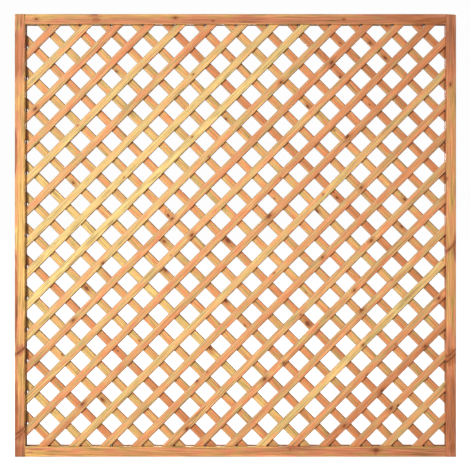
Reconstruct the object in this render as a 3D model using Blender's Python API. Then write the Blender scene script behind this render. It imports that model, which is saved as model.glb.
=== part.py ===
"""Framed diamond trellis panel of planed softwood, about 1.8 m square, standing on its bottom edge.

Two layers of thin laths cross at right angles, each set at 45 degrees, with their ends seated in a
groove that runs along the inside of a square-section frame. The stiles run the full height. The
rails sit between them, with stub tenons in the stiles' grooves and one long screw at each corner.

Lengths are in metres. X is to the right, Y goes from the front to the back and Z is up. The origin
is at the middle of the bottom edge, half way through the depth.
"""

import math

import bmesh
import bpy
from mathutils import Matrix, Vector

# The panel and its frame stock
PANEL_WIDTH = 1.797
PANEL_HEIGHT = 1.803
FRAME_FACE = 0.042
FRAME_DEPTH = 0.042
FRAME_ARRIS = 0.003
STILE_END_ARRIS = 0.0016
GROOVE_DEPTH = 0.012
GROOVE_LIP = 0.0008

# The laths, and where the lattice sits in the frame
LATH_WIDTH = 0.032
LATH_THICKNESS = 0.008
LATH_ARRIS = 0.0024
LATHS_PER_LAYER = 26
CORNER_REACH = 0.124
LATTICE_SHIFT_RIGHT = 0.005
LATTICE_SHIFT_UP = -0.001

# The corner screws
SCREW_LENGTH = 0.080
SCREW_SHANK_DIAMETER = 0.005
SCREW_HEAD_DIAMETER = 0.010
SCREW_RIM_HEIGHT = 0.0005
SCREW_HEAD_SINK = 0.001
SCREW_POINT_LENGTH = 0.008
SCREW_POINT_DIAMETER = 0.0008
RECESS_SPAN = 0.0052
RECESS_SLOT = 0.0014
RECESS_DEPTH = 0.0022
RECESS_TAPER = 0.55

# The gap between pieces that touch, and how finely round shapes are cut into facets
CLEARANCE = 0.0003
CUTTER_MARGIN = 0.010
FRAME_ARRIS_STEPS = 4
END_ARRIS_STEPS = 3
LATH_ARRIS_STEPS = 4
TURNED_SIDES = 24
SMOOTH_BELOW = math.radians(38)

# Worked out from the sizes above
FRAME_CENTRE = Vector((0, 0, PANEL_HEIGHT / 2))
LATTICE_CENTRE = FRAME_CENTRE + Vector((LATTICE_SHIFT_RIGHT, 0, LATTICE_SHIFT_UP))
INNER_WIDTH = PANEL_WIDTH - 2 * FRAME_FACE
INNER_HEIGHT = PANEL_HEIGHT - 2 * FRAME_FACE
GROOVE_WIDTH = 2 * LATH_THICKNESS + 3 * CLEARANCE
GROOVE_WALL = (FRAME_DEPTH - GROOVE_WIDTH) / 2
TENON_THICKNESS = GROOVE_WIDTH - 2 * CLEARANCE
SEAT_HALF_WIDTH = INNER_WIDTH / 2 + GROOVE_DEPTH - CLEARANCE
SEAT_HALF_HEIGHT = INNER_HEIGHT / 2 + GROOVE_DEPTH - CLEARANCE
LATTICE_SPREAD = (INNER_WIDTH + INNER_HEIGHT - 2 * CORNER_REACH) * math.sqrt(0.5)
LATH_PITCH = LATTICE_SPREAD / (LATHS_PER_LAYER - 1)
SCREW_INSET = (FRAME_FACE - GROOVE_DEPTH) / 2

# Colours of the finishes, and how rough each one is
FRAME_TONE = (0.66, 0.33, 0.15)
LATH_PALE_TONE = (0.80, 0.52, 0.22)
LATH_WARM_TONE = (0.70, 0.34, 0.14)
SCREW_TONE = (0.62, 0.58, 0.50)
TIMBER_ROUGHNESS = 0.62
STEEL_ROUGHNESS = 0.38


def clear_scene():
    for old in list(bpy.data.objects):
        bpy.data.objects.remove(old, do_unlink=True)


def make_finish(name, tone, roughness, metallic):
    finish = bpy.data.materials.new(name)
    finish.use_nodes = True
    shader = finish.node_tree.nodes["Principled BSDF"]
    shader.inputs["Base Color"].default_value = (*tone, 1.0)
    shader.inputs["Roughness"].default_value = roughness
    shader.inputs["Metallic"].default_value = metallic
    finish.diffuse_color = (*tone, 1.0)
    return finish


def shade_round_faces(mesh):
    """Round faces shade smoothly and the edges between flat faces stay crisp."""
    mesh.shade_smooth()
    mesh.set_sharp_from_angle(angle=SMOOTH_BELOW)


def make_object(name, shape, finish=None, parent=None):
    bmesh.ops.recalc_face_normals(shape, faces=shape.faces[:])
    mesh = bpy.data.meshes.new(name)
    shape.to_mesh(mesh)
    shape.free()
    shade_round_faces(mesh)
    if finish:
        mesh.materials.append(finish)
    item = bpy.data.objects.new(name, mesh)
    bpy.context.scene.collection.objects.link(item)
    item.parent = parent
    return item


def make_empty(name, place):
    empty = bpy.data.objects.new(name, None)
    empty.location = place
    bpy.context.scene.collection.objects.link(empty)
    return empty


def make_cutter(name, shape):
    cutter = make_object(name, shape)
    cutter.hide_render = True
    cutter.display_type = "WIRE"
    return cutter


def cut_with(item, *cutters):
    """Take the cutters' shapes out of a piece, and keep the result as its mesh."""
    for cutter in cutters:
        cut = item.modifiers.new(cutter.name, "BOOLEAN")
        cut.operation = "DIFFERENCE"
        cut.solver = "EXACT"
        cut.object = cutter
    depsgraph = bpy.context.evaluated_depsgraph_get()
    cut_mesh = bpy.data.meshes.new_from_object(item.evaluated_get(depsgraph))
    item.modifiers.clear()
    item.data = cut_mesh
    shade_round_faces(cut_mesh)


def add_loft(shape, rings, placed=Matrix.Identity(4)):
    """Join closed rings of equal point count into one skin and close both ends."""
    loops = [[shape.verts.new(placed @ Vector(point)) for point in ring] for ring in rings]
    for near, far in zip(loops, loops[1:]):
        for index in range(len(near)):
            after = (index + 1) % len(near)
            shape.faces.new((near[index], near[after], far[after], far[index]))
    shape.faces.new(loops[0])
    shape.faces.new(loops[-1])


def add_block(shape, low, high):
    """A rectangular block between two opposite corners."""
    low = Vector(low)
    high = Vector(high)
    placed = Matrix.Translation((low + high) / 2) @ Matrix.Diagonal((*(high - low), 1.0))
    bmesh.ops.create_cube(shape, size=1.0, matrix=placed)


def arc(centre_x, centre_y, radius, start_degrees, steps):
    """Points of a quarter circle, counter-clockwise from its start angle."""
    points = []
    for step in range(steps + 1):
        angle = math.radians(start_degrees + 90 * step / steps)
        points.append((centre_x + radius * math.cos(angle), centre_y + radius * math.sin(angle)))
    return points


def rounded_corners(left, right, bottom, top, radius, steps):
    """A rectangle with round corners, counter-clockwise from the lower end of its right side."""
    points = []
    points += arc(right - radius, top - radius, radius, 0, steps)
    points += arc(left + radius, top - radius, radius, 90, steps)
    points += arc(left + radius, bottom + radius, radius, 180, steps)
    points += arc(right - radius, bottom + radius, radius, 270, steps)
    return points


def grooved_section(inset):
    """Frame stock seen on its end: x runs from the outer side to the grooved side, y is the depth.

    The outside is drawn in by the inset, which is how an end arris is rounded over. The groove
    keeps its walls, and its mouth has a small chamfer that leads the laths in.
    """
    arris = min(FRAME_ARRIS, 0.8 * GROOVE_WALL) - inset
    inner_side = FRAME_FACE - inset
    face = FRAME_DEPTH / 2 - inset
    wall = GROOVE_WIDTH / 2
    lip = min(GROOVE_LIP, 0.1 * GROOVE_WALL)
    points = rounded_corners(inset, inner_side, -face, face, arris, FRAME_ARRIS_STEPS)
    points += [(inner_side, -wall - lip), (inner_side - lip, -wall)]
    points += [(FRAME_FACE - GROOVE_DEPTH, -wall), (FRAME_FACE - GROOVE_DEPTH, wall)]
    points += [(inner_side - lip, wall), (inner_side, wall + lip)]
    return points


def stile_rings():
    """Rings up a stile, with both of its ends rounded over."""
    arris = min(STILE_END_ARRIS, 0.6 * FRAME_ARRIS, 0.5 * GROOVE_WALL)
    lower_end = []
    for step in range(END_ARRIS_STEPS + 1):
        angle = math.radians(90 * step / END_ARRIS_STEPS)
        lower_end.append((arris * (1 - math.cos(angle)), arris * (1 - math.sin(angle))))
    upper_end = [(PANEL_HEIGHT - height, inset) for height, inset in reversed(lower_end)]
    for height, inset in lower_end + upper_end:
        yield [(x, y, height) for x, y in grooved_section(inset)]


def make_stile(name, place, turn, screw_bores):
    """A full-height upright: local X points into the panel and local Z runs up."""
    shape = bmesh.new()
    add_loft(shape, list(stile_rings()))
    finish = make_finish(name + "_timber", FRAME_TONE, TIMBER_ROUGHNESS, 0.0)
    stile = make_object(name, shape, finish)
    stile.location = place
    stile.rotation_euler = (0, 0, turn)
    cut_with(stile, screw_bores)


def make_rail(name, place, turn, shoulders, screw_bores):
    """A rail between the stiles: local X points into the panel and local Z runs along it."""
    shape = bmesh.new()
    ends = (-SEAT_HALF_WIDTH, SEAT_HALF_WIDTH)
    add_loft(shape, [[(x, y, end) for x, y in grooved_section(0)] for end in ends])
    finish = make_finish(name + "_timber", FRAME_TONE, TIMBER_ROUGHNESS, 0.0)
    rail = make_object(name, shape, finish)
    rail.location = place
    rail.rotation_euler = (0, turn, 0)
    cut_with(rail, shoulders, screw_bores)


def make_shoulder_cutter():
    """Blocks that trim each rail end to a stub tenon, as thick as the stiles' grooves are wide."""
    shoulder = INNER_WIDTH / 2 - CLEARANCE
    past_the_tenon = SEAT_HALF_WIDTH + CUTTER_MARGIN
    cheek = TENON_THICKNESS / 2
    past_the_face = FRAME_DEPTH / 2 + CUTTER_MARGIN
    shape = bmesh.new()
    for start, end in ((-past_the_tenon, -shoulder), (shoulder, past_the_tenon)):
        for front, back in ((-past_the_face, -cheek), (cheek, past_the_face)):
            for rail_base in (0, PANEL_HEIGHT - FRAME_FACE):
                rail_top = rail_base + FRAME_FACE
                low = (start, front, rail_base - CUTTER_MARGIN)
                high = (end, back, rail_top + CUTTER_MARGIN)
                add_block(shape, low, high)
    return make_cutter("tenon_shoulders", shape)


def corner_screws():
    """Each corner's name and the frame of its screw: local X runs in from the stile's outer side."""
    for side_name, side, turn in (("left", -1, 0), ("right", 1, math.pi)):
        for end_name, height in (("bottom", SCREW_INSET), ("top", PANEL_HEIGHT - SCREW_INSET)):
            place = Matrix.Translation((side * PANEL_WIDTH / 2, 0, height))
            sink = Matrix.Translation((SCREW_HEAD_SINK, 0, 0))
            yield end_name + "_" + side_name, place @ Matrix.Rotation(turn, 4, "Z") @ sink


def turned_ring(depth, radius):
    """A ring round local X, with the depth measured along it."""
    ring = []
    for side in range(TURNED_SIDES):
        angle = math.tau * side / TURNED_SIDES
        ring.append((depth, radius * math.cos(angle), radius * math.sin(angle)))
    return ring


def screw_rings(grow):
    """A screw's rings from its point to the rim of its head, grown all round to make its bore."""
    shank = SCREW_SHANK_DIAMETER / 2
    head = SCREW_HEAD_DIAMETER / 2
    cone_end = SCREW_RIM_HEIGHT + head - shank
    return [
        turned_ring(SCREW_LENGTH + grow, SCREW_POINT_DIAMETER / 2 + grow),
        turned_ring(SCREW_LENGTH - SCREW_POINT_LENGTH + grow, shank + grow),
        turned_ring(cone_end + grow, shank + grow),
        turned_ring(SCREW_RIM_HEIGHT + grow, head + grow),
    ]


def recess_ring(depth, scale):
    """A cross with as many points as a turned ring has, for the driver's recess."""
    tip = scale * RECESS_SPAN / 2
    slot = scale * RECESS_SLOT / 2
    middle = (tip + slot) / 2
    quarter = [(tip, 0), (tip, slot), (middle, slot), (slot, slot), (slot, middle), (slot, tip)]
    ring = []
    for turn in range(4):
        for point in quarter:
            spot = Matrix.Rotation(math.radians(90 * turn), 2) @ Vector(point)
            ring.append((depth, spot.x, spot.y))
    return ring


def make_bore_cutter():
    """The four corner bores: countersink, hole through stile and tenon, and pilot hole in line."""
    shape = bmesh.new()
    mouth = turned_ring(-SCREW_HEAD_SINK - CUTTER_MARGIN, SCREW_HEAD_DIAMETER / 2 + CLEARANCE)
    for _, placed in corner_screws():
        add_loft(shape, screw_rings(CLEARANCE) + [mouth], placed)
    return make_cutter("screw_bores", shape)


def make_screw(name, placed):
    """A countersunk wood screw, driven through a stile into the end grain of a rail."""
    head_top = turned_ring(0, SCREW_HEAD_DIAMETER / 2)
    recess = [recess_ring(0, 1), recess_ring(RECESS_DEPTH, RECESS_TAPER)]
    shape = bmesh.new()
    add_loft(shape, screw_rings(0) + [head_top] + recess)
    screw = make_object(name, shape, make_finish(name + "_steel", SCREW_TONE, STEEL_ROUGHNESS, 1.0))
    screw.location = placed.to_translation()
    screw.rotation_euler = placed.to_euler()


def make_frame():
    screw_bores = make_bore_cutter()
    shoulders = make_shoulder_cutter()
    make_stile("stile_left", (-PANEL_WIDTH / 2, 0, 0), 0, screw_bores)
    make_stile("stile_right", (PANEL_WIDTH / 2, 0, 0), math.pi, screw_bores)
    make_rail("rail_bottom", (0, 0, 0), -math.pi / 2, shoulders, screw_bores)
    make_rail("rail_top", (0, 0, PANEL_HEIGHT), math.pi / 2, shoulders, screw_bores)
    for corner, placed in corner_screws():
        make_screw("corner_screw_" + corner, placed)
    for cutter in (screw_bores, shoulders):
        bpy.data.objects.remove(cutter)


def saw_off(shape, point, outwards):
    """Cut away what lies past a plane and close the sawn face."""
    everything = shape.verts[:] + shape.edges[:] + shape.faces[:]
    cut = bmesh.ops.bisect_plane(
        shape, geom=everything, dist=1e-7, plane_co=point, plane_no=outwards, clear_outer=True
    )
    rim = [part for part in cut["geom_cut"] if isinstance(part, bmesh.types.BMEdge)]
    if rim:
        bmesh.ops.edgeloop_fill(shape, edges=rim)


def lath_ring(along):
    """A lath seen on its end: its thickness is the panel's depth, and all its arrises are eased."""
    arris = min(LATH_ARRIS, 0.45 * LATH_THICKNESS, 0.45 * LATH_WIDTH)
    thick = LATH_THICKNESS / 2
    wide = LATH_WIDTH / 2
    section = rounded_corners(-thick, thick, -wide, wide, arris, LATH_ARRIS_STEPS)
    return [(along, y, z) for y, z in section]


def lath_tone(number):
    """Some laths are paler and some warmer, in no plain order."""
    share = (number * 0.618034) % 1.0
    return tuple(pale + (warm - pale) * share for pale, warm in zip(LATH_PALE_TONE, LATH_WARM_TONE))


def make_lath(name, number, lattice, slope, depth, across):
    """One lath: local X runs along it, local Y is the panel's depth and local Z is its width.

    It starts too long and is sawn off along the floors of the four grooves. So each end is cut at
    45 degrees to lie flat in the groove that holds it, and an end in a corner is mitred both ways.
    """
    placed = Matrix.Rotation(slope, 4, "Y") @ Matrix.Translation((0, depth, across))
    over_long = INNER_WIDTH + INNER_HEIGHT
    shape = bmesh.new()
    add_loft(shape, [lath_ring(-over_long), lath_ring(over_long)])
    to_lath = placed.inverted()
    groove_floors = ((Vector((1, 0, 0)), SEAT_HALF_WIDTH), (Vector((0, 0, 1)), SEAT_HALF_HEIGHT))
    for direction, reach in groove_floors:
        for outwards in (-direction, direction):
            groove_floor = FRAME_CENTRE + outwards * reach - LATTICE_CENTRE
            saw_off(shape, to_lath @ groove_floor, to_lath.to_3x3() @ outwards)
    finish = make_finish(name + "_timber", lath_tone(number), TIMBER_ROUGHNESS, 0.0)
    lath = make_object(name, shape, finish, lattice)
    lath.location = placed.to_translation()
    lath.rotation_euler = (0, slope, 0)


def make_lattice():
    """The front laths rise to the right, counted from the top left, and the back laths fall."""
    lattice = make_empty("lattice", LATTICE_CENTRE)
    layer_depth = (LATH_THICKNESS + CLEARANCE) / 2
    middle = (LATHS_PER_LAYER - 1) / 2
    for index in range(LATHS_PER_LAYER):
        number = index + 1
        across = (index - middle) * LATH_PITCH
        front_name = "front_lath_%02d" % number
        make_lath(front_name, number, lattice, -math.pi / 4, -layer_depth, -across)
        back_name = "back_lath_%02d" % number
        make_lath(back_name, number + LATHS_PER_LAYER, lattice, math.pi / 4, layer_depth, across)


clear_scene()
make_frame()
make_lattice()
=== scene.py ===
"""Looks for a framed diamond trellis panel of planed softwood, dipped in a golden brown preservative.

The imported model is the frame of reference. Lengths are in metres, X is to the right, Y goes from
the front to the back and Z is up, with the origin at the middle of the panel's bottom edge.
"""

import math

import bmesh
import bpy
import numpy as np
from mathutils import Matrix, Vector, noise


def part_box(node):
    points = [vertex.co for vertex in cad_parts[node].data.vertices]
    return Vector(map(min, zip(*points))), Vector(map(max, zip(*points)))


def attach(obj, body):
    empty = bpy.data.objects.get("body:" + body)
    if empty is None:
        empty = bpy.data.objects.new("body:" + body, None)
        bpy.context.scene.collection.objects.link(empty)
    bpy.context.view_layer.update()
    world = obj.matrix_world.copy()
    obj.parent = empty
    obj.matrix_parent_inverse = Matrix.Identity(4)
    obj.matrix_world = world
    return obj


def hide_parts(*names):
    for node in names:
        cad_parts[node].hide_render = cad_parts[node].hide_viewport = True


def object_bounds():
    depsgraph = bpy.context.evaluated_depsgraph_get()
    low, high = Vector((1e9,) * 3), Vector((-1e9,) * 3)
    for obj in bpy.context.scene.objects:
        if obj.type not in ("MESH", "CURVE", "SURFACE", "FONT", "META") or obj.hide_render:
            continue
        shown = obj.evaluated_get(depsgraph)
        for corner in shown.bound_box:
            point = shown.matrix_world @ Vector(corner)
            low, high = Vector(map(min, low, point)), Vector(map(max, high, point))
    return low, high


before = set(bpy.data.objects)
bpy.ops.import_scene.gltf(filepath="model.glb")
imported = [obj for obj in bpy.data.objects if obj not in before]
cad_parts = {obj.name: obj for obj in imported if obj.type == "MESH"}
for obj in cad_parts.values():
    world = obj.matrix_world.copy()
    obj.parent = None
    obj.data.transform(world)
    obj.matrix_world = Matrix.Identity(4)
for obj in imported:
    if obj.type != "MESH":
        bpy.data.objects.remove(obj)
cad_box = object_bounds()
panel_low, panel_high = cad_box
panel_middle = (panel_low + panel_high) / 2


# The laths. Each is a thin planed strip of pine with machine-rounded arrises, sawn at 45 degrees
# so that its ends lie flat in the groove of the frame. The back layer is laid first and falls to
# the right, and the front layer crosses it and rises to the right.

LATH_ARRIS = 0.0036
LATH_ARRIS_STEPS = 5
LATH_RING_SPACING = 0.008
LATH_UNEVENNESS = 0.0003
LATH_BOW = 0.0010
LATH_SHARP_ANGLE = math.radians(40)

# In the photograph the lattice is a hair taller than it is wide, and set a hair to the left
LATTICE_RISE = 1.0054
LATTICE_SLIP = -0.0017

# Some laths were sawn from the pale outer wood of the log, and some from its redder heart. A tone
# of 0 is pale and 1 is red.
VERY_PALE_LATHS = {"front": (8, 9, 21), "back": (2, 9)}
PALE_LATHS = {"front": (2, 5, 7, 15, 25), "back": (4, 5, 14, 17, 20)}
RED_LATHS = {"front": (3, 4, 6, 11, 13, 14, 17), "back": (3, 13, 22, 23, 26)}
VERY_RED_LATHS = {"front": (1, 23), "back": (6, 18)}
# The back layer's redder middle tone and darker shade are painted shade, for laths lying behind the
# front layer
MIDDLE_TONE = {"front": 0.47, "back": 0.54}
TONE_STEP = 0.26
TONE_CHANCE = 0.08
LATH_MOTTLE = 0.70
LAYER_PAINTED_SHADE = {"front": 1.0, "back": 0.97}
LATH_SEED = {"front": 0.0, "back": 100.0}
LATH_SEED_STEP = 3.7

# Knots that show from the front: distance to the right of the middle, height and radius
LATH_KNOTS = {
    "front": [
        (0.392, 1.607, 0.008),
        (0.186, 1.526, 0.006),
        (-0.818, 1.418, 0.006),
        (0.456, 1.304, 0.009),
        (0.513, 1.096, 0.006),
        (0.136, 0.980, 0.009),
        (-0.179, 0.903, 0.007),
        (-0.260, 0.970, 0.006),
        (-0.663, 0.555, 0.006),
        (-0.541, 0.787, 0.005),
        (-0.625, 0.213, 0.007),
        (-0.158, 0.307, 0.005),
        (-0.248, 0.596, 0.005),
        (-0.199, 0.112, 0.006),
        (0.196, 0.380, 0.005),
        (0.118, 0.315, 0.007),
        (0.355, 0.811, 0.005),
        (0.554, 0.881, 0.006),
        (0.485, 0.677, 0.005),
        (0.513, 0.596, 0.007),
        (0.830, 0.645, 0.006),
        (0.773, 0.449, 0.006),
        (0.520, 0.454, 0.004),
        (0.537, 0.331, 0.004),
        (0.598, 0.267, 0.007),
        (0.636, 0.195, 0.007),
        (0.664, 0.205, 0.005),
        (0.444, 0.124, 0.006),
    ],
    "back": [
        (0.295, 1.428, 0.007),
        (0.430, 1.548, 0.007),
        (0.611, 1.627, 0.007),
        (0.550, 1.688, 0.006),
        (-0.488, 1.572, 0.005),
        (-0.040, 1.377, 0.005),
        (-0.664, 1.116, 0.006),
        (0.692, 1.048, 0.006),
        (0.334, 0.999, 0.007),
        (0.680, 0.938, 0.005),
        (0.415, 1.056, 0.006),
        (-0.276, 0.982, 0.006),
        (-0.032, 0.881, 0.010),
        (-0.293, 0.877, 0.006),
        (-0.289, 0.759, 0.007),
        (-0.610, 0.685, 0.008),
        (-0.040, 0.633, 0.007),
        (0.295, 0.541, 0.010),
        (-0.105, 0.441, 0.009),
        (-0.545, 0.230, 0.007),
    ],
}
KNOT_CATCH = 0.75
KNOT_SPREAD = 0.4
KNOTS_PER_LATH = 3
NO_KNOT = (0.0, 0.0, 0.0)
PIN_KNOT_SPREAD = (0.6, 0.01)
PIN_KNOT_RADIUS = (0.0015, 0.003)

# The back layer's darker, redder colours are painted shade, for laths lying behind the front layer
PALE_PINE = {"front": (0.93, 0.68, 0.255, 1.0), "back": (0.92, 0.64, 0.215, 1.0)}
RED_PINE = {"front": (0.82, 0.325, 0.143, 1.0), "back": (0.81, 0.300, 0.122, 1.0)}
LATE_WOOD = (0.48, 0.16, 0.055, 1.0)
KNOT_WOOD = (0.22, 0.060, 0.018, 1.0)
# A painted highlight for the arrises that face the lamp
PAINTED_HIGHLIGHT_WOOD = (0.72, 0.58, 0.34, 1.0)
# The dip's dark stain, which is also the colour of the painted shade at arrises, lath ends, corners
# and groove
STAIN_AND_PAINTED_SHADE = (0.19, 0.046, 0.016, 1.0)
TIMBER_GLOSS = 0.2
RING_WIDTH = 0.0024

# How quickly each kind of grain changes along a board and across it, in waves a metre
SWAY_GRAIN = (2.2, 14.0)
FIBRE_GRAIN = (6.0, 420.0)
STREAK_GRAIN = (10.0, 150.0)
PATCH_GRAIN = (16.0, 55.0)

# Painted shade darkens the laths' arrises to the right, away from the lamp, and a painted highlight
# lightens those to the left, towards it. All arrises also carry the darker dip that soaked in there
SHADED_ARRIS_SIDE = {"front": -1.0, "back": 1.0}
LIT_SIDE_SHARE = 0.42
PAINTED_HIGHLIGHT_SHARE = 0.60
STAIN_REACH = 0.0050
# Painted shade at the lath ends next to the stiles
LATH_END_SHADE_SHARE = {"front": 0.10, "back": 0.70}
LATH_END_SHADE_REACH = 0.009
# Painted shade in the small corners between crossing laths and the frame
CORNER_SHADE_SHARE = 0.88
CORNER_SHADE_MARGIN = 0.004
# Painted light and shade across the panel: paler at the left, towards the lamp, and redder to the
# right, top and bottom
PAINTED_LIGHT_SHIFT = 0.24
PAINTED_RIM_SHADE = 0.24

SOCKET_KINDS = {float: "Float", int: "Int", type(None): "Material", 3: "Vector", 4: "Color"}
TIMBER_MARKS = {"Heart": "Float", "Halo": "Float", "Push": "Float"}


def new_group(name, kind, inputs, outputs):
    """A node group with named sockets. What an input starts as says which kind of socket it is."""
    tree = bpy.data.node_groups.new(name, kind)
    for label, value in inputs.items():
        socket = SOCKET_KINDS[len(value) if isinstance(value, tuple) else type(value)]
        item = tree.interface.new_socket(label, in_out="INPUT", socket_type="NodeSocket" + socket)
        if value is not None:
            item.default_value = value
    for label, socket in outputs.items():
        tree.interface.new_socket(label, in_out="OUTPUT", socket_type="NodeSocket" + socket)
    given = tree.nodes.new("NodeGroupInput").outputs
    result = tree.nodes.new("NodeGroupOutput").inputs
    return tree, given, result


def add_node(tree, kind, sockets=(), **options):
    """Puts a node in a tree and gives its outputs. A socket gets a plain value or an output."""
    node = tree.nodes.new(kind)
    for option, value in options.items():
        setattr(node, option, value)
    for socket, value in dict(sockets).items():
        if isinstance(value, bpy.types.NodeSocket):
            tree.links.new(value, node.inputs[socket])
        else:
            node.inputs[socket].default_value = value
    return node.outputs


def tree_of(*values):
    """The tree that holds the outputs among these values."""
    return next(value.id_data for value in values if isinstance(value, bpy.types.NodeSocket))


def add_group(group, sockets):
    options = {"node_tree": group}
    return add_node(tree_of(*sockets.values()), "ShaderNodeGroup", sockets, **options)


def link(value, socket):
    tree_of(value).links.new(value, socket)


def calculate(operation, *values):
    """The output of a Math node fed with numbers or with other nodes' outputs."""
    return add_node(tree_of(*values), "ShaderNodeMath", enumerate(values), operation=operation)[0]


def times(value, factor, start=None):
    """A product, added to the start where there is one."""
    if start is None:
        return calculate("MULTIPLY", value, factor)
    return calculate("MULTIPLY_ADD", value, factor, start)


def plus(first, second):
    return calculate("ADD", first, second)


def minus(first, second):
    return calculate("SUBTRACT", first, second)


def over(value, divisor):
    return calculate("DIVIDE", value, divisor)


def greater(first, second):
    return calculate("MAXIMUM", first, second)


def unsigned(value):
    return calculate("ABSOLUTE", value)


def vector_of(x, y, z):
    return add_node(tree_of(x, y, z), "ShaderNodeCombineXYZ", {"X": x, "Y": y, "Z": z})[0]


def parts_of(vector):
    return add_node(tree_of(vector), "ShaderNodeSeparateXYZ", {0: vector})


def length_of(vector):
    options = {"operation": "LENGTH"}
    return add_node(tree_of(vector), "ShaderNodeVectorMath", {0: vector}, **options)["Value"]


def cloud_at(vector, scale=1.0, detail=2.0):
    """Noise at a place, from about 0.25 to 0.75."""
    sockets = {"Vector": vector, "Scale": scale, "Detail": detail}
    return add_node(tree_of(vector), "ShaderNodeTexNoise", sockets)[0]


def drawn_from(seed):
    """Random numbers from 0 to 1 that depend on the seed alone: one value, and three as a colour."""
    options = {"noise_dimensions": "1D"}
    return add_node(tree_of(seed), "ShaderNodeTexWhiteNoise", {"W": seed}, **options)


def kept_within_one(value):
    return add_node(tree_of(value), "ShaderNodeClamp", {"Value": value})[0]


def smooth_step(value, start, end, low=0.0, high=1.0):
    """Goes softly from low to high as the value goes from start to end."""
    sockets = {"Value": value, "From Min": start, "From Max": end, "To Min": low, "To Max": high}
    options = {"interpolation_type": "SMOOTHSTEP"}
    return add_node(tree_of(value), "ShaderNodeMapRange", sockets, **options)["Result"]


def mix_colours(share, first, second, blend="MIX"):
    sockets = {0: share, 6: first, 7: second}
    options = {"data_type": "RGBA", "blend_type": blend}
    return add_node(tree_of(share, first, second), "ShaderNodeMix", sockets, **options)[2]


def make_knot_group():
    """A round knot in the face of a board: its dark heart, and how far it pushes the grain aside.

    Knot holds its distance along the board, its distance across and its radius, which is 0 for none.
    """
    inputs = {"Place": (0, 0, 0), "Knot": NO_KNOT}
    tree, given, result = new_group("Pine knot", "ShaderNodeTree", inputs, TIMBER_MARKS)
    place = parts_of(given["Place"])
    knot = parts_of(given["Knot"])
    along = times(minus(place["X"], knot["X"]), 0.6)
    across = minus(place["Y"], knot["Y"])
    radius = greater(knot["Z"], 1e-4)
    present = calculate("GREATER_THAN", knot["Z"], 2e-4)
    ratio = over(length_of(vector_of(along, across, 0.0)), radius)
    wobble = times(minus(cloud_at(given["Place"], 260.0), 0.5), 1.8)
    edge = plus(ratio, wobble)
    heart = smooth_step(edge, 0.35, 1.15, 1.0, 0.0)
    halo = smooth_step(edge, 0.9, 3.0, 1.0, 0.0)
    nearness = greater(times(ratio, ratio), 1.0)
    push = over(across, nearness)
    link(times(heart, present), result["Heart"])
    link(times(halo, present), result["Halo"])
    link(times(push, present), result["Push"])
    return tree


def make_edge_group():
    """Where the dip soaked in, at arrises, narrow sides and ends, with painted shade on those away
    from the lamp, and a painted highlight on the arrises towards it.

    Shaded Side is 1 or -1 for the side, away from the lamp, towards which Y grows or falls, and 0 for
    neither. The half length can stay as it is on a board whose ends are out of sight.
    """
    inputs = {
        "Place": (0, 0, 0),
        "Half Length": 10.0,
        "Half Width": 0.01,
        "Half Thickness": 0.01,
        "Reach": STAIN_REACH,
        "Side Share": 1.0,
        "Shaded Side": 0.0,
        "Lit Side Share": LIT_SIDE_SHARE,
    }
    outputs = {"Darkening": "Float", "Painted Highlight": "Float"}
    tree, given, result = new_group("Edge stain with painted shade and highlight", "ShaderNodeTree", inputs, outputs)
    place = parts_of(given["Place"])
    to_end = minus(given["Half Length"], unsigned(place["X"]))
    to_side = minus(given["Half Width"], unsigned(place["Y"]))
    to_face = minus(given["Half Thickness"], unsigned(place["Z"]))
    uneven = cloud_at(given["Place"], 45.0)
    off_arris = over(greater(to_side, to_face), given["Reach"])
    arris = smooth_step(times(uneven, 0.8, off_arris), 0.35, 1.35, 1.0, 0.0)
    side = greater(arris, times(smooth_step(to_face, 0.0012, 0.0032), given["Side Share"]))

    # Arrises and narrow sides away from the lamp get the full darkening as painted shade, those
    # towards it only a share, and these get a painted highlight
    shaded_side = times(place["Y"], given["Shaded Side"])
    side = times(side, smooth_step(shaded_side, -0.002, 0.002, given["Lit Side Share"], 1.0))
    painted_highlight = smooth_step(plus(to_side, to_face), 0.001, 0.007, 1.0, 0.0)
    painted_highlight = times(painted_highlight, smooth_step(shaded_side, -0.002, 0.002, 1.0, 0.0))
    soak = smooth_step(times(uneven, -0.016, to_end), -0.010, 0.006, 0.8, 0.0)
    link(greater(side, soak), result["Darkening"])
    link(painted_highlight, result["Painted Highlight"])
    return tree


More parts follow.
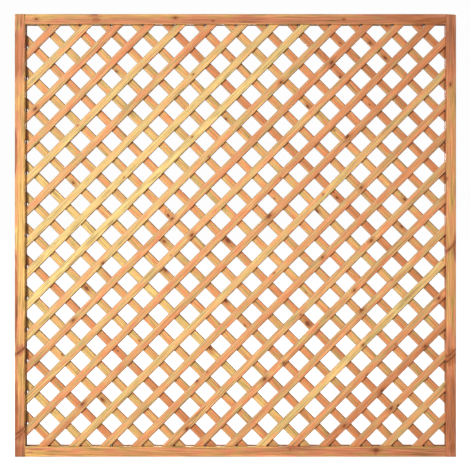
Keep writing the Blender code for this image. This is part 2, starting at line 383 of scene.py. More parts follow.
def make_grain_group():
    """Sawn pine: growth rings round a pith that lies outside the board, fibres and colour patches.

    Place holds a point's distance along the grain, across it and into it, in metres.
    """
    inputs = {
        "Place": (0, 0, 0),
        "Push": 0.0,
        "Seed": 0.0,
        "Tone": 0.5,
        "Mottle": LATH_MOTTLE,
        "Shade": 1.0,
        "Pale Wood": PALE_PINE["front"],
        "Red Wood": RED_PINE["front"],
        "Late Wood": LATE_WOOD,
        "Ring Width": RING_WIDTH,
        "Pith Spread": 0.06,
        "Pith Depth": 0.02,
    }
    outputs = {"Colour": "Color", "Roughness": "Float", "Height": "Float"}
    tree, given, result = new_group("Pine grain", "ShaderNodeTree", inputs, outputs)
    place = parts_of(given["Place"])
    drawn = parts_of(drawn_from(given["Seed"])["Color"])
    seed_far = times(given["Seed"], 7.31)

    def stretched(grain, across):
        """The place on this kind of grain's own scale, moved apart for each board."""
        lengthwise, crosswise = grain
        far = times(place["Z"], crosswise, seed_far)
        return vector_of(times(place["X"], lengthwise), times(across, crosswise), far)

    # The rings' centre drifts along the board, because a log is never sawn quite in line
    tilt = times(minus(drawn["Z"], 0.5), 0.05)
    side = minus(times(drawn["X"], 2.0), 1.0)
    pith_across = times(place["X"], tilt, times(side, given["Pith Spread"]))
    pith_depth = times(drawn["Y"], 0.05, given["Pith Depth"])
    sway = times(minus(cloud_at(stretched(SWAY_GRAIN, place["Y"])), 0.5), 0.016)
    across = minus(minus(place["Y"], given["Push"]), pith_across)
    depth = plus(place["Z"], pith_depth)
    growth = plus(length_of(vector_of(0.0, across, depth)), sway)
    rings = over(growth, given["Ring Width"])
    part = calculate("FRACT", rings)
    late = times(smooth_step(part, 0.35, 0.88), smooth_step(part, 0.93, 1.0, 1.0, 0.0))
    weather = drawn_from(plus(calculate("FLOOR", rings), seed_far))[0]
    late = times(late, times(weather, 0.8, 0.2))

    # Fibres run along the board as fine streaks, and broad patches took the dip differently
    fibre = cloud_at(stretched(FIBRE_GRAIN, across), detail=3.0)
    streak = cloud_at(stretched(STREAK_GRAIN, across), detail=3.0)
    patch = cloud_at(stretched(PATCH_GRAIN, place["Y"]), detail=3.0)
    mottle = times(streak, 3.0, times(patch, 4.0, -3.5))
    tone = times(mottle, given["Mottle"], given["Tone"])

    # A tone of 0 is pale wood and 1 is red wood, and past that it goes towards the late wood's brown
    wood = mix_colours(kept_within_one(tone), given["Pale Wood"], given["Red Wood"])
    wood = mix_colours(kept_within_one(minus(tone, 1.0)), wood, given["Late Wood"])
    wood = mix_colours(times(late, 0.62), wood, given["Late Wood"])
    shade = times(patch, 0.95, times(streak, 1.6, times(fibre, 1.9, -1.20)))
    shade = times(shade, given["Shade"])
    link(mix_colours(1.0, wood, vector_of(shade, shade, shade), "MULTIPLY"), result["Colour"])
    link(times(late, -0.10, times(fibre, 0.22, 0.46)), result["Roughness"])
    link(times(plus(late, fibre), 0.5), result["Height"])
    return tree


def make_corner_shade_group():
    """Painted shade in the corners that crossing laths make with a side of the opening."""
    inputs = {
        "Along": 0.0,
        "Off Frame": 0.0,
        "First": 0.0,
        "Spacing": 0.1,
        "Reach": 0.01,
        "Margin": CORNER_SHADE_MARGIN,
    }
    outputs = {"Darkening": "Float"}
    tree, given, result = new_group("Corner painted shade", "ShaderNodeTree", inputs, outputs)
    beside = minus(given["Along"], given["First"])
    beside = calculate("PINGPONG", beside, times(given["Spacing"], 0.5))

    # The corner is a triangle on the opening's side, and hardly touches the frame's own face
    away = greater(given["Off Frame"], times(given["Off Frame"], -4.0))
    edge = over(minus(plus(beside, away), given["Reach"]), given["Margin"])
    link(smooth_step(edge, 0.0, 1.0, 1.0, 0.0), result["Darkening"])
    return tree


knot_group = make_knot_group()
edge_group = make_edge_group()
grain_group = make_grain_group()
corner_shade_group = make_corner_shade_group()


def new_material(name):
    """A material, its tree and the inputs of its shader."""
    material = bpy.data.materials.new(name)
    material.use_nodes = True
    return material, material.node_tree, material.node_tree.nodes["Principled BSDF"].inputs


def add_marks(place, group, label, spots, marks=(0.0, 0.0, 0.0)):
    """Adds each of these knots to the heart, halo and push that the board has so far."""
    heart, halo, push = marks
    for spot in spots:
        parts = add_group(group, {"Place": place, label: spot})
        heart = greater(heart, parts["Heart"])
        halo = greater(halo, parts["Halo"])
        push = plus(push, parts["Push"])
    return heart, halo, push


def add_timber(shader, place, marks, stain, painted_highlight, grain):
    """Joins the grain, the marks of knots, the dark stain with its painted shade, and the painted
    highlight to a timber's shader.
    """
    heart, halo, push = marks
    grain = add_group(grain_group, {"Place": place, "Push": push, **grain})
    wood = mix_colours(times(halo, 0.6), grain["Colour"], LATE_WOOD)
    # The painted highlight, then the dark stain with its painted shade
    wood = mix_colours(painted_highlight, wood, PAINTED_HIGHLIGHT_WOOD)
    wood = mix_colours(stain, wood, STAIN_AND_PAINTED_SHADE)
    wood = mix_colours(heart, wood, KNOT_WOOD)
    sockets = {"Height": grain["Height"], "Strength": 0.5, "Distance": 0.0003}
    bump = add_node(tree_of(wood), "ShaderNodeBump", sockets)[0]
    shader["Specular IOR Level"].default_value = TIMBER_GLOSS
    link(wood, shader["Base Color"])
    link(grain["Roughness"], shader["Roughness"])
    link(bump, shader["Normal"])


def towards_ends(spot):
    """0 at the middle of the panel's height and 1 at its top and bottom."""
    height = over(minus(spot["Z"], panel_middle.z), panel_middle.z)
    return times(height, height)


def add_painted_light_falloff(spot, tone):
    """Painted light: paler and yellower at the left, towards the lamp, and redder at the right, top
    and bottom, where less light falls.
    """
    tone = times(spot["X"], PAINTED_LIGHT_SHIFT / panel_high.x, tone)
    return times(towards_ends(spot), PAINTED_RIM_SHADE, tone)


def add_corner_shade(spot, stain, sides):
    """Adds painted shade in the corners between crossing laths and these sides of the opening."""
    for side in sides:
        inward, edge = side["inward"], side["edge"]
        sockets = {
            "Along": spot[side["along"]],
            "Off Frame": times(spot[side["across"]], inward, -inward * edge),
            "First": side["first"],
            "Spacing": side["spacing"],
            "Reach": side["reach"],
        }
        corner = add_group(corner_shade_group, sockets)[0]
        stain = greater(stain, times(corner, CORNER_SHADE_SHARE))
    return stain


def make_lath_timber(layer, width, thickness):
    timber, tree, shader = new_material("Dipped pine of the " + layer + " laths")

    def read(name, output):
        return add_node(tree, "ShaderNodeAttribute", attribute_name=name)[output]

    place = read("grain_place", "Vector")
    spot = parts_of(add_node(tree, "ShaderNodeTexCoord")["Object"])
    knots = [read("knot_%d" % (number + 1), "Vector") for number in range(KNOTS_PER_LATH)]
    marks = add_marks(place, knot_group, "Knot", knots)
    grain = {
        "Seed": read("lath_seed", "Fac"),
        "Tone": add_painted_light_falloff(spot, read("lath_tone", "Fac")),
        "Shade": LAYER_PAINTED_SHADE[layer],
        "Pale Wood": PALE_PINE[layer],
        "Red Wood": RED_PINE[layer],
    }
    sockets = {
        "Place": place,
        "Half Width": width / 2,
        "Half Thickness": thickness / 2,
        "Shaded Side": SHADED_ARRIS_SIDE[layer],
    }
    edges = add_group(edge_group, sockets)

    # Painted shade where the lath ends sit in the grooves of the stiles, in the stiles' shadow, much
    # stronger on the back layer
    to_side = minus(opening_high.x, unsigned(spot["X"]))
    lath_end_shade = smooth_step(to_side, 0.0, LATH_END_SHADE_REACH, LATH_END_SHADE_SHARE[layer], 0.0)
    stain = add_corner_shade(spot, greater(edges["Darkening"], lath_end_shade), frame_sides.values())
    add_timber(shader, place, marks, stain, times(edges["Painted Highlight"], PAINTED_HIGHLIGHT_SHARE), grain)
    return timber


def end_tree(tree, geometry, material, result):
    """Makes real copies of what a tree repeats, and gives all of it one material."""
    geometry = add_node(tree, "GeometryNodeRealizeInstances", {0: geometry})[0]
    sockets = {"Geometry": geometry, "Material": material}
    link(add_node(tree, "GeometryNodeSetMaterial", sockets)[0], result)


def make_lath_tree():
    """Sweeps a rounded strip along a line, and stretches it so that each end lies in a groove."""
    inputs = {
        "Slope": 1.0,
        "Across": 0.0,
        "Depth": 0.0,
        "Width": 0.01,
        "Thickness": 0.01,
        "Arris": LATH_ARRIS,
        "Arris Steps": LATH_ARRIS_STEPS,
        "Seat Half Width": 1.0,
        "Seat Half Height": 1.0,
        "Middle Height": 1.0,
        "Rise": LATTICE_RISE,
        "Slip": LATTICE_SLIP,
        "Ring Spacing": LATH_RING_SPACING,
        "Unevenness": LATH_UNEVENNESS,
        "Bow": 0.0,
        "Seed": 0.0,
        "Tone": 0.5,
        "Knot 1": NO_KNOT,
        "Knot 2": NO_KNOT,
        "Knot 3": NO_KNOT,
        "Timber": None,
    }
    tree, given, result = new_group("Sawn lath", "GeometryNodeTree", inputs, {"Lath": "Geometry"})
    root_two = math.sqrt(2)
    half_width = times(given["Seat Half Width"], root_two)
    half_height = over(times(given["Seat Half Height"], root_two), given["Rise"])
    slip = times(given["Slip"], root_two)

    def ends_at(across):
        """Where a line at this distance across meets the grooves, at its lower and upper end."""
        lean = times(across, given["Slope"])
        slipped = minus(lean, slip)
        right = plus(half_width, slipped)
        top = minus(half_height, lean)
        left = minus(slipped, half_width)
        bottom = times(plus(half_height, lean), -1.0)
        return greater(left, bottom), calculate("MINIMUM", right, top)

    start, end = ends_at(given["Across"])
    count = calculate("CEIL", over(minus(end, start), given["Ring Spacing"]))
    line = add_node(tree, "GeometryNodeCurvePrimitiveLine", {"Start": (0, 0, 0), "End": (1, 0, 0)})
    line = add_node(tree, "GeometryNodeResampleCurve", {"Curve": line[0], "Count": count})
    sizes = {"Width": given["Width"], "Height": given["Thickness"]}
    section = add_node(tree, "GeometryNodeCurvePrimitiveQuadrilateral", sizes)
    rounding = {"Curve": section[0], "Radius": given["Arris"], "Count": given["Arris Steps"]}
    section = add_node(tree, "GeometryNodeFilletCurve", rounding, mode="POLY")
    sweep = {"Curve": line[0], "Profile Curve": section[0], "Fill Caps": True}
    lath = add_node(tree, "GeometryNodeCurveToMesh", sweep)[0]

    # The swept strip runs along X from 0 to 1, with its width on Y and its thickness on Z
    swept = parts_of(add_node(tree, "GeometryNodeInputPosition")[0])
    start, end = ends_at(plus(given["Across"], swept["Y"]))
    along = times(minus(end, start), swept["X"], start)

    # Planing leaves the strip a hair thinner here and there, never thicker, and its faces lose a
    # third as much as its narrow sides
    waves = vector_of(
        times(along, 14.0), times(swept["Y"], 60.0), times(swept["Z"], 200.0, given["Seed"])
    )
    loss = times(cloud_at(waves, detail=3.0), given["Unevenness"])
    narrowing = minus(1.0, over(loss, times(given["Width"], 0.5)))
    thinning = minus(1.0, over(loss, times(given["Thickness"], 1.5)))
    sideways = times(swept["Y"], narrowing)
    inwards = times(swept["Z"], thinning)

    # A lath is seldom dead straight: it bows sideways a little between its two seats
    bow = calculate("SINE", times(calculate("PINGPONG", swept["X"], 0.5), math.pi))
    across = plus(times(bow, given["Bow"], given["Across"]), sideways)

    along_part = over(along, root_two)
    across_part = over(across, root_two)
    x = plus(minus(along_part, times(across_part, given["Slope"])), given["Slip"])
    y = minus(given["Depth"], inwards)
    z = times(along_part, given["Slope"], across_part)
    z = times(z, given["Rise"], given["Middle Height"])
    stored = [
        ("grain_place", "FLOAT_VECTOR", vector_of(along, sideways, inwards)),
        ("lath_seed", "FLOAT", given["Seed"]),
        ("lath_tone", "FLOAT", given["Tone"]),
        ("knot_1", "FLOAT_VECTOR", given["Knot 1"]),
        ("knot_2", "FLOAT_VECTOR", given["Knot 2"]),
        ("knot_3", "FLOAT_VECTOR", given["Knot 3"]),
    ]
    for name, kind, value in stored:
        sockets = {"Geometry": lath, "Name": name, "Value": value}
        lath = add_node(tree, "GeometryNodeStoreNamedAttribute", sockets, data_type=kind)[0]
    sockets = {"Geometry": lath, "Position": vector_of(x, y, z)}
    lath = add_node(tree, "GeometryNodeSetPosition", sockets)[0]
    end_tree(tree, lath, given["Timber"], result["Lath"])
    return tree


def new_object(name, data):
    """An object in the scene, at the origin."""
    thing = bpy.data.objects.new(name, data)
    bpy.context.scene.collection.objects.link(thing)
    return thing


def grow_piece(name, tree, values, sharp_angle):
    """The plain mesh that a Geometry Nodes tree makes from these input values."""
    piece = new_object(name, bpy.data.meshes.new(name))
    modifier = piece.modifiers.new(name, "NODES")
    modifier.node_group = tree
    sockets = {item.name: item.identifier for item in tree.interface.items_tree}
    for label, value in values.items():
        modifier[sockets[label]] = value
    seen = piece.evaluated_get(bpy.context.evaluated_depsgraph_get())
    grown = bpy.data.meshes.new_from_object(seen)
    piece.modifiers.clear()
    piece.data = grown
    grown.name = name
    grown.shade_smooth()
    grown.set_sharp_from_angle(angle=sharp_angle)
    return piece


def read_lath(node, slope):
    """A packed lath's place across and in depth, its width and its thickness."""
    points = [vertex.co for vertex in node.data.vertices]
    across = [(point.z - panel_middle.z - slope * point.x) / math.sqrt(2) for point in points]
    depths = [point.y for point in points]
    return {
        "Across": (min(across) + max(across)) / 2,
        "Width": max(across) - min(across),
        "Depth": (min(depths) + max(depths)) / 2,
        "Thickness": max(depths) - min(depths),
    }


def knots_on(layer, slope, across, width):
    """The listed knots that lie on this lath, as distance along it, across it and radius."""
    found = []
    for right, height, radius in LATH_KNOTS[layer]:
        x = right - LATTICE_SLIP
        z = (height - panel_middle.z) / LATTICE_RISE
        offset = (z - slope * x) / math.sqrt(2) - across
        if abs(offset) < KNOT_CATCH * width:
            offset = max(-KNOT_SPREAD * width, min(KNOT_SPREAD * width, offset))
            found.append(((x + slope * z) / math.sqrt(2), offset, radius))
    return found


def tone_of(layer, number):
    steps = (number in RED_LATHS[layer]) - (number in PALE_LATHS[layer])
    steps += 2 * (number in VERY_RED_LATHS[layer]) - 2 * (number in VERY_PALE_LATHS[layer])
    return MIDDLE_TONE[layer] + steps * TONE_STEP


def find_frame_corners():
    """For each frame member, where the crossings nearest to it make corners with its inner side."""
    crossings = []
    for front in front_lines:
        for back in back_lines:
            x = (back - front) / math.sqrt(2) + LATTICE_SLIP
            z = (back + front) / math.sqrt(2) * LATTICE_RISE + panel_middle.z
            if opening_low.x < x < opening_high.x and opening_low.z < z < opening_high.z:
                crossings.append({"X": x, "Z": z})
    spacing = (front_pitch + back_pitch) / math.sqrt(2)
    sides = {}
    for name, along, across, edge, inward in (
        ("rail_bottom", "X", "Z", opening_low.z, 1.0),
        ("rail_top", "X", "Z", opening_high.z, -1.0),
        ("stile_left", "Z", "X", opening_low.x, 1.0),
        ("stile_right", "Z", "X", opening_high.x, -1.0),
    ):
        nearest = min(crossings, key=lambda crossing: abs(crossing[across] - edge))
        sides[name] = {
            "along": along,
            "across": across,
            "edge": edge,
            "inward": inward,
            "first": nearest[along],
            "spacing": spacing * (LATTICE_RISE if along == "Z" else 1.0),
            "reach": abs(nearest[across] - edge) - lath_width / math.sqrt(2),
        }
    return sides


def pitch_of(lines):
    return (max(lines) - min(lines)) / (len(lines) - 1)


lath_nodes = {name: node for name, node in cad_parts.items() if "lath" in name}
seat_low = Vector(map(min, *(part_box(name)[0] for name in lath_nodes)))
seat_high = Vector(map(max, *(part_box(name)[1] for name in lath_nodes)))
opening_low = Vector((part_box("stile_left")[1].x, 0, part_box("rail_bottom")[1].z))
opening_high = Vector((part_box("stile_right")[0].x, 0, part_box("rail_top")[0].z))
lath_slopes = {"back": -1.0, "front": 1.0}
lath_sizes = {
    layer: {
        name: read_lath(lath_nodes[name], slope)
        for name in sorted(lath_nodes)
        if name.startswith(layer)
    }
    for layer, slope in lath_slopes.items()
}
front_lines = [sizes["Across"] for sizes in lath_sizes["front"].values()]
back_lines = [sizes["Across"] for sizes in lath_sizes["back"].values()]
front_pitch = pitch_of(front_lines)
back_pitch = pitch_of(back_lines)
lath_width = lath_sizes["front"]["front_lath_01"]["Width"]
lath_thickness = lath_sizes["front"]["front_lath_01"]["Thickness"]
frame_sides = find_frame_corners()
lath_tree = make_lath_tree()
chance = np.random.default_rng(4)

for layer, slope in lath_slopes.items():
    lath_timber = make_lath_timber(layer, lath_width, lath_thickness)
    for number, (name, sizes) in enumerate(lath_sizes[layer].items(), 1):
        knots = knots_on(layer, slope, sizes["Across"], sizes["Width"])
        pin_knot = tuple(chance.uniform(-spread, spread) for spread in PIN_KNOT_SPREAD)
        knots.append((*pin_knot, chance.uniform(*PIN_KNOT_RADIUS)))
        knots = (knots + [NO_KNOT] * KNOTS_PER_LATH)[:KNOTS_PER_LATH]
        values = {
            "Slope": slope,
            **sizes,
            "Seat Half Width": (seat_high.x - seat_low.x) / 2,
            "Seat Half Height": (seat_high.z - seat_low.z) / 2,
            "Middle Height": panel_middle.z,
            "Bow": chance.uniform(-LATH_BOW, LATH_BOW),
            "Seed": LATH_SEED[layer] + number * LATH_SEED_STEP,
            "Tone": tone_of(layer, number) + chance.uniform(-TONE_CHANCE, TONE_CHANCE),
            **{"Knot %d" % place: knot for place, knot in enumerate(knots, 1)},
            "Timber": lath_timber,
        }
        lath = grow_piece("sawn_" + name, lath_tree, values, LATH_SHARP_ANGLE)
        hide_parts(name)
        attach(lath, "root")


# The staples. One galvanised wire staple holds each crossing, driven from the back through the
# back lath into the front one, with its crown upright and pressed flush with the wood.

STAPLE_CROWN = 0.0105
STAPLE_LEG = 0.0125
STAPLE_WIRE = 0.0012
STAPLE_WIRE_SIDES = 6
STAPLE_BEND = 0.0010
STAPLE_BEND_STEPS = 2
STAPLE_TURN = math.radians(7)
STAPLE_SCATTER = 0.0025
STAPLE_MARGIN = 0.012
STAPLE_SHARP_ANGLE = math.radians(75)
ZINC = (0.62, 0.60, 0.55, 1.0)
ZINC_STAIN = (0.40, 0.37, 0.30, 1.0)


def make_zinc():
    zinc, tree, shader = new_material("Zinc-plated steel")
    cloud = cloud_at(add_node(tree, "ShaderNodeTexCoord")["Object"], 380.0, 4.0)
    link(mix_colours(smooth_step(cloud, 0.40, 0.68), ZINC, ZINC_STAIN), shader["Base Color"])
    link(smooth_step(cloud, 0.30, 0.75, 0.28, 0.52), shader["Roughness"])
    shader["Metallic"].default_value = 1.0
    return zinc


def make_staple_tree():
    """Bends one wire staple and sets a copy at each crossing of the two layers in the opening."""
    inputs = {
        "Crown": STAPLE_CROWN,
        "Leg": STAPLE_LEG,
        "Wire": STAPLE_WIRE,
        "Wire Sides": STAPLE_WIRE_SIDES,
        "Bend": STAPLE_BEND,
        "Bend Steps": STAPLE_BEND_STEPS,
        "Front Laths": 2,
        "Back Laths": 2,
        "Front Middle": 0.0,
        "Back Middle": 0.0,
        "Front Pitch": 0.1,
        "Back Pitch": 0.1,
        "Half Width": 1.0,
        "Half Height": 1.0,
        "Middle Height": 1.0,
        "Depth": 0.0,
        "Rise": LATTICE_RISE,
        "Slip": LATTICE_SLIP,
        "Turn": STAPLE_TURN,
        "Scatter": STAPLE_SCATTER,
        "Seed": 3,
        "Metal": None,
    }
    outputs = {"Staples": "Geometry"}
    tree, given, result = new_group("Crossing staples", "GeometryNodeTree", inputs, outputs)
    half = times(given["Crown"], 0.5)
    other = times(half, -1.0)
    tip = times(given["Leg"], -1.0)
    corners = [(0.0, tip, other), (0.0, 0.0, other), (0.0, 0.0, half), (0.0, tip, half)]
    sockets = {"Point %d" % (n + 1): vector_of(*spot) for n, spot in enumerate(corners)}
    path = add_node(tree, "GeometryNodeCurvePrimitiveQuadrilateral", sockets, mode="POINTS")[0]
    path = add_node(tree, "GeometryNodeSetSplineCyclic", {"Geometry": path, "Cyclic": False})[0]
    rounding = {"Curve": path, "Radius": given["Bend"], "Count": given["Bend Steps"]}
    path = add_node(tree, "GeometryNodeFilletCurve", rounding, mode="POLY")[0]
    sockets = {"Resolution": given["Wire Sides"], "Radius": times(given["Wire"], 0.5)}
    wire = add_node(tree, "GeometryNodeCurvePrimitiveCircle", sockets)[0]
    sweep = {"Curve": path, "Profile Curve": wire, "Fill Caps": True}
    staple = add_node(tree, "GeometryNodeCurveToMesh", sweep)[0]

    # One point for each pair of laths, moved to where the middle lines of the two laths cross
    sockets = {
        "Size X": minus(given["Front Laths"], 1.0),
        "Size Y": minus(given["Back Laths"], 1.0),
        "Vertices X": given["Front Laths"],
        "Vertices Y": given["Back Laths"],
    }
    pairs = add_node(tree, "GeometryNodeMeshGrid", sockets)[0]
    pair = parts_of(add_node(tree, "GeometryNodeInputPosition")[0])
    front = times(pair["X"], given["Front Pitch"], given["Front Middle"])
    back = times(pair["Y"], given["Back Pitch"], given["Back Middle"])
    root_two = math.sqrt(2)
    x = plus(over(minus(back, front), root_two), given["Slip"])
    z = times(over(plus(back, front), root_two), given["Rise"], given["Middle Height"])
    sockets = {"Geometry": pairs, "Position": vector_of(x, given["Depth"], z)}
    pairs = add_node(tree, "GeometryNodeSetPosition", sockets)[0]

    # Only the crossings in the opening are stapled
    spot = parts_of(add_node(tree, "GeometryNodeInputPosition")[0])
    off_middle = unsigned(minus(spot["Z"], given["Middle Height"]))
    off_side = calculate("GREATER_THAN", unsigned(spot["X"]), given["Half Width"])
    off_top = calculate("GREATER_THAN", off_middle, given["Half Height"])
    sockets = {"Geometry": pairs, "Selection": greater(off_side, off_top)}
    pairs = add_node(tree, "GeometryNodeDeleteGeometry", sockets, domain="POINT")[0]

    def random_vector(low, high, seed):
        sockets = {0: low, 1: high, "Seed": seed}
        return add_node(tree, "FunctionNodeRandomValue", sockets, data_type="FLOAT_VECTOR")[0]

    turn, far = given["Turn"], given["Scatter"]
    turned_back, near = times(turn, -1.0), times(far, -1.0)
    turned = random_vector(
        vector_of(0.0, turned_back, 0.0), vector_of(0.0, turn, 0.0), given["Seed"]
    )
    scattered = random_vector(
        vector_of(near, 0.0, near), vector_of(far, 0.0, far), plus(given["Seed"], 1.0)
    )
    sockets = {"Geometry": pairs, "Offset": scattered}
    pairs = add_node(tree, "GeometryNodeSetPosition", sockets)[0]
    sockets = {"Points": pairs, "Instance": staple, "Rotation": turned}
    staples = add_node(tree, "GeometryNodeInstanceOnPoints", sockets)[0]
    end_tree(tree, staples, given["Metal"], result["Staples"])
    return tree


zinc = make_zinc()
values = {
    "Front Laths": len(front_lines),
    "Back Laths": len(back_lines),
    "Front Middle": (min(front_lines) + max(front_lines)) / 2,
    "Back Middle": (min(back_lines) + max(back_lines)) / 2,
    "Front Pitch": front_pitch,
    "Back Pitch": back_pitch,
    "Half Width": (opening_high.x - opening_low.x) / 2 - STAPLE_MARGIN,
    "Half Height": (opening_high.z - opening_low.z) / 2 - STAPLE_MARGIN,
    "Middle Height": panel_middle.z,
    "Depth": seat_high.y,
    "Metal": zinc,
}
staples = grow_piece("crossing_staples", make_staple_tree(), values, STAPLE_SHARP_ANGLE)
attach(staples, "root")


# The rails and stiles. Square planed pine with a groove along its inner side. The rails sit
# between the stiles on stub tenons, and the stiles run the full height.

FRAME_SLICE = 0.012
FRAME_UNEVENNESS = 0.00035
FRAME_WAVES = 23.0
FRAME_SHARP_ANGLE = math.radians(38)
MERGE_DISTANCE = 1e-6
FLAT_ANGLE = math.radians(0.5)
WORN_CORNER_REACH = 0.060
WORN_CORNER_LOSS = 0.0030
WORN_CORNER_PUSH = Vector((-0.3, 0.0, -1.0))

FRAME_PALE_PINE = (0.95, 0.58, 0.175, 1.0)
FRAME_RED_PINE = (0.72, 0.27, 0.137, 1.0)
FRAME_RING_WIDTH = 0.0032
FRAME_PITH = 0.03
FRAME_MOTTLE = 0.55
FRAME_EDGE_SHARE = 0.32
FRAME_STAIN_REACH = 0.0030
# Painted shade: the frame darker towards the top and bottom, where less light falls
FRAME_END_PAINTED_SHADE = 0.10
# Painted shade in the groove
GROOVE_SHADE_SHARE = 0.75
GROOVE_WALL = (0.0005, 0.0009)
GROOVE_LIP = (0.007, 0.008)
BRANCH_BEND = 9.0
BRANCH_SLANT = (0.25, 0.60)
STAIN_WAVER = 0.9
STAIN_DEPTH = 0.024

# For each member: the direction of its grain, the side of its groove, its tone and seed, its round
# knots (place along, across, radius), its branches cut lengthwise (place along, lean, half width)
# and its soft stains (place along, across, half length, half width, how much redder or paler)
FRAME_MEMBERS = {
    "rail_bottom": {
        "grain": "X",
        "groove": 1,
        "tone": 0.50,
        "seed": 11.0,
        "knots": [(0.571, 0.007, 0.0085), (0.222, 0.009, 0.0035)],
        "branches": [],
        "stains": [
            (-0.820, -0.004, 0.070, 0.020, -0.45),
            (-0.815, 0.009, 0.045, 0.004, 1.3),
            (-0.835, -0.002, 0.022, 0.004, 1.1),
            (0.571, -0.004, 0.006, 0.014, 0.9),
            (0.250, 0.020, 0.110, 0.007, 0.7),
            (0.740, 0.000, 0.130, 0.030, 0.1),
            # Paler along the top edge: a painted highlight where the lamp above lights it
            (0.000, 0.0205, 3.000, 0.005, -0.75),
            (0.000, -0.0190, 3.000, 0.006, -0.35),
        ],
    },
    "rail_top": {
        "grain": "X",
        "groove": -1,
        "tone": 0.52,
        "seed": 23.0,
        "knots": [
            (-0.574, 0.0215, 0.0085),
            (-0.091, -0.007, 0.0035),
            (-0.245, 0.005, 0.0050),
            (-0.810, 0.000, 0.0045),
            (0.440, -0.001, 0.0040),
        ],
        "branches": [],
        "stains": [
            (-0.566, -0.004, 0.022, 0.012, 1.0),
            (-0.790, 0.004, 0.060, 0.022, -0.3),
            (0.800, -0.010, 0.090, 0.016, 1.0),
            (0.760, 0.000, 0.150, 0.040, 0.35),
            (0.640, 0.016, 0.200, 0.008, 0.8),
            (0.060, 0.000, 0.100, 0.020, 0.4),
            (-0.110, 0.000, 0.130, 0.030, 0.2),
            # These three bands are painted light and shade: paler along the top, redder along the
            # lower half and paler along the lower arris
            (0.000, 0.016, 3.000, 0.010, -0.3),
            (0.000, -0.010, 3.000, 0.012, 0.35),
            (0.000, -0.0215, 3.000, 0.004, -0.9),
        ],
    },
    "stile_left": {
        "grain": "Z",
        "groove": 1,
        "tone": 0.28,
        "seed": 37.0,
        "knots": [],
        "branches": [(0.428, 0.73, 0.0068), (0.103, 0.70, 0.0050), (0.086, 0.90, 0.0035)],
        "stains": [
            (1.780, 0.008, 0.045, 0.014, 0.7),
            (1.655, 0.000, 0.140, 0.060, 1.05),
            (1.480, 0.000, 0.180, 0.060, 0.35),
            (1.630, -0.019, 0.110, 0.012, 1.8),
            (1.243, -0.020, 0.120, 0.012, 2.0),
            (0.637, -0.019, 0.230, 0.013, 2.1),
            (0.200, -0.019, 0.130, 0.013, 2.1),
            (1.270, 0.000, 0.140, 0.060, 0.22),
            (0.480, 0.000, 0.180, 0.060, 0.2),
            (0.120, 0.000, 0.170, 0.060, 0.5),
            (0.895, 0.000, 0.060, 0.040, -0.9),
            (1.440, -0.010, 0.040, 0.012, -0.5),
            (0.436, 0.004, 0.030, 0.016, 0.8),
            (0.095, 0.000, 0.040, 0.022, 0.7),
            (0.015, 0.000, 0.045, 0.040, 0.75),
            (0.900, -0.0130, 3.000, 0.008, 0.5),
            (0.900, 0.0185, 3.000, 0.007, -0.4),
        ],
    },
    "stile_right": {
        "grain": "Z",
        "groove": -1,
        "tone": 0.30,
        "seed": 41.0,
        "knots": [(1.516, -0.002, 0.0050), (1.132, -0.018, 0.0035)],
        "branches": [(0.420, 0.84, 0.0040), (0.400, 0.86, 0.0055), (0.852, 1.00, 0.0060)],
        "stains": [
            (1.720, 0.000, 0.220, 0.040, 0.7),
            (1.785, 0.000, 0.045, 0.040, -0.35),
            (0.852, 0.018, 0.070, 0.012, 1.5),
            (0.470, 0.000, 0.060, 0.030, 0.3),
            (0.409, 0.004, 0.045, 0.030, 1.2),
            (0.190, 0.000, 0.220, 0.050, 0.9),
            (0.035, 0.004, 0.030, 0.016, 0.6),
            # A darker line along the inner edge: painted shade
            (0.900, -0.0215, 3.000, 0.004, 1.2),
        ],
    },
}


def make_branch_group():
    """A branch that the saw cut lengthwise: a slanting dark line that bends the grain along it."""
    inputs = {"Place": (0, 0, 0), "Branch": (0, 0, 0), "Bend": BRANCH_BEND}
    tree, given, result = new_group("Sawn branch", "ShaderNodeTree", inputs, TIMBER_MARKS)
    place = parts_of(given["Place"])
    branch = parts_of(given["Branch"])
    rough = cloud_at(given["Place"], 90.0)
    middle = times(place["Y"], branch["Y"], branch["X"])
    middle = times(times(place["Y"], place["Y"]), given["Bend"], middle)
    off = plus(over(minus(place["X"], middle), branch["Z"]), minus(rough, 0.5))
    far = unsigned(off)
    thick = smooth_step(rough, 0.30, 0.62, 0.45, 1.0)
    link(times(smooth_step(far, 0.3, 1.2, 1.0, 0.0), thick), result["Heart"])
    link(smooth_step(far, 0.8, 4.0, 1.0, 0.0), result["Halo"])
    link(over(0.006, plus(times(off, off), 1.0)), result["Push"])
    return tree


def make_stain_group():
    """A soft stain in the face of a board, drawn out along the grain: how strong it is at a place."""
    inputs = {
        "Place": (0, 0, 0),
        "Middle": (0, 0, 0),
        "Half Length": 0.02,
        "Half Width": 0.01,
        "Depth": STAIN_DEPTH,
        "Waver": STAIN_WAVER,
    }
    tree, given, result = new_group("Soft stain", "ShaderNodeTree", inputs, {"Strength": "Float"})
    place = parts_of(given["Place"])
    middle = parts_of(given["Middle"])
    along = over(minus(place["X"], middle["X"]), given["Half Length"])
    across = over(minus(place["Y"], middle["Y"]), given["Half Width"])
    deep = over(minus(place["Z"], middle["Z"]), given["Depth"])
    far = length_of(vector_of(along, across, deep))
    waver = cloud_at(vector_of(times(place["X"], 25.0), times(place["Y"], 120.0), 0.0))
    far = times(minus(waver, 0.5), given["Waver"], far)
    link(smooth_step(far, 0.45, 1.05, 1.0, 0.0), result["Strength"])
    return tree


branch_group = make_branch_group()
stain_group = make_stain_group()


def add_stains(place, stains, front, tone):
    """Adds each soft stain in the front face of a board to the board's tone."""
    for along, across, half_length, half_width, redder in stains:
        sockets = {
            "Place": place,
            "Middle": (along, across, front),
            "Half Length": half_length,
            "Half Width": half_width,
        }
        tone = times(add_group(stain_group, sockets)["Strength"], redder, tone)
    return tone


